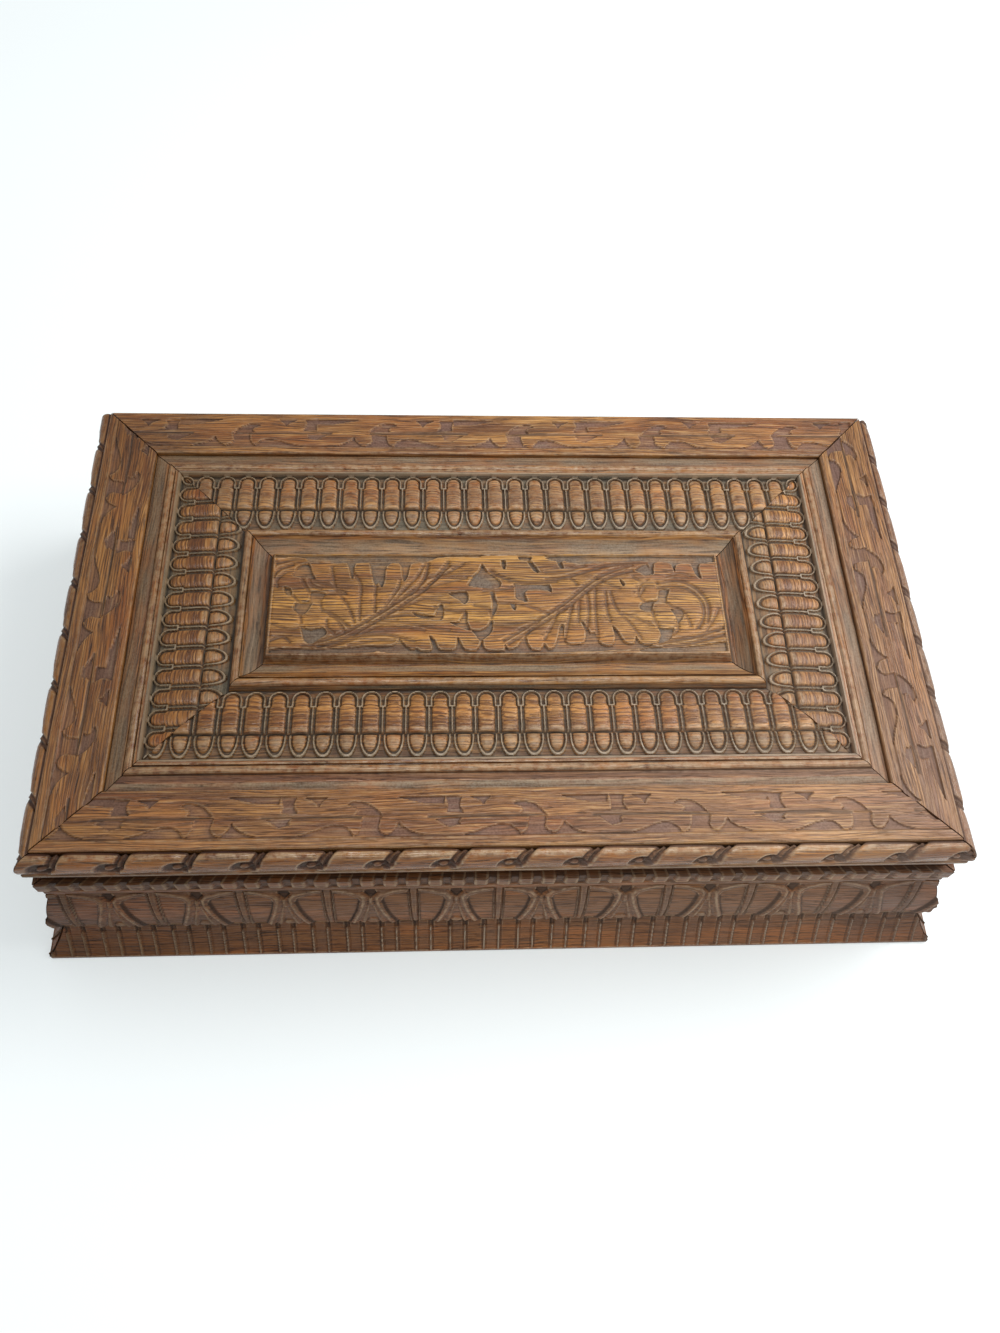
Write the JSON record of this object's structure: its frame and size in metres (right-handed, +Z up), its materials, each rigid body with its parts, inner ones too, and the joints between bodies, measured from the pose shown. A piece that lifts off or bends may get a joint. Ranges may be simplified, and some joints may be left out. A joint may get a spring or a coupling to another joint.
{
  "type": "keepsake box",
  "caption": "Carved oak keepsake box: a hinged lid with mitred mouldings, a band of tongues and a raised leaf panel, over a boarded body with dentil, leaf and ribbed base mouldings.",
  "frame": {"origin": "on the table, under the middle of the whole outline, plinth to hinge knuckles", "axes": "+X along the box to the right, +Y from the front to the hinged back, +Z up"},
  "size_m": [0.3746, 0.2268, 0.0885],
  "materials": {
    "carved_lid_oak": "waxed, satin",
    "lid_bead_oak": "waxed, satin",
    "box_moulding_oak": "waxed, dull",
    "plain_oak": "oiled, dull",
    "brass": "aged"
  },
  "bodies": {
    "box": {"wall_front": "plain_oak", "wall_back": "plain_oak", "wall_left": "plain_oak", "wall_right": "plain_oak", "bottom_board": "plain_oak", "dentil_strip_front": "box_moulding_oak", "dentil_strip_left": "box_moulding_oak", "dentil_strip_right": "box_moulding_oak", "leaf_moulding_front": "box_moulding_oak", "leaf_moulding_left": "box_moulding_oak", "leaf_moulding_right": "box_moulding_oak", "plinth_front": "box_moulding_oak", "plinth_left": "box_moulding_oak", "plinth_right": "box_moulding_oak", "left_hinge_box_leaf": "brass", "right_hinge_box_leaf": "brass", "left_hinge_pin": "brass", "right_hinge_pin": "brass", "box_hinge_screws": "brass"},
    "lid": {"lid_board": "plain_oak", "lid_rail_front": "carved_lid_oak", "lid_rail_back": "carved_lid_oak", "lid_rail_left": "carved_lid_oak", "lid_rail_right": "carved_lid_oak", "edge_roll_front": "carved_lid_oak", "edge_roll_left": "carved_lid_oak", "edge_roll_right": "carved_lid_oak", "cove_bead_front": "lid_bead_oak", "cove_bead_back": "lid_bead_oak", "cove_bead_left": "lid_bead_oak", "cove_bead_right": "lid_bead_oak", "tongue_band_front": "carved_lid_oak", "tongue_band_back": "carved_lid_oak", "tongue_band_left": "carved_lid_oak", "tongue_band_right": "carved_lid_oak", "inner_bead_front": "lid_bead_oak", "inner_bead_back": "lid_bead_oak", "inner_bead_left": "lid_bead_oak", "inner_bead_right": "lid_bead_oak", "lid_panel": "carved_lid_oak", "left_hinge_lid_leaf": "brass", "right_hinge_lid_leaf": "brass", "lid_hinge_screws": "brass"}
  },
  "joints": [
    {"name": "lid_hinge", "type": "hinge", "parent": "box", "child": "lid", "pos_m": [0, 0.11085, 0.06415], "axis": [-1, 0, 0], "range_deg": [0, 105]}
  ]
}
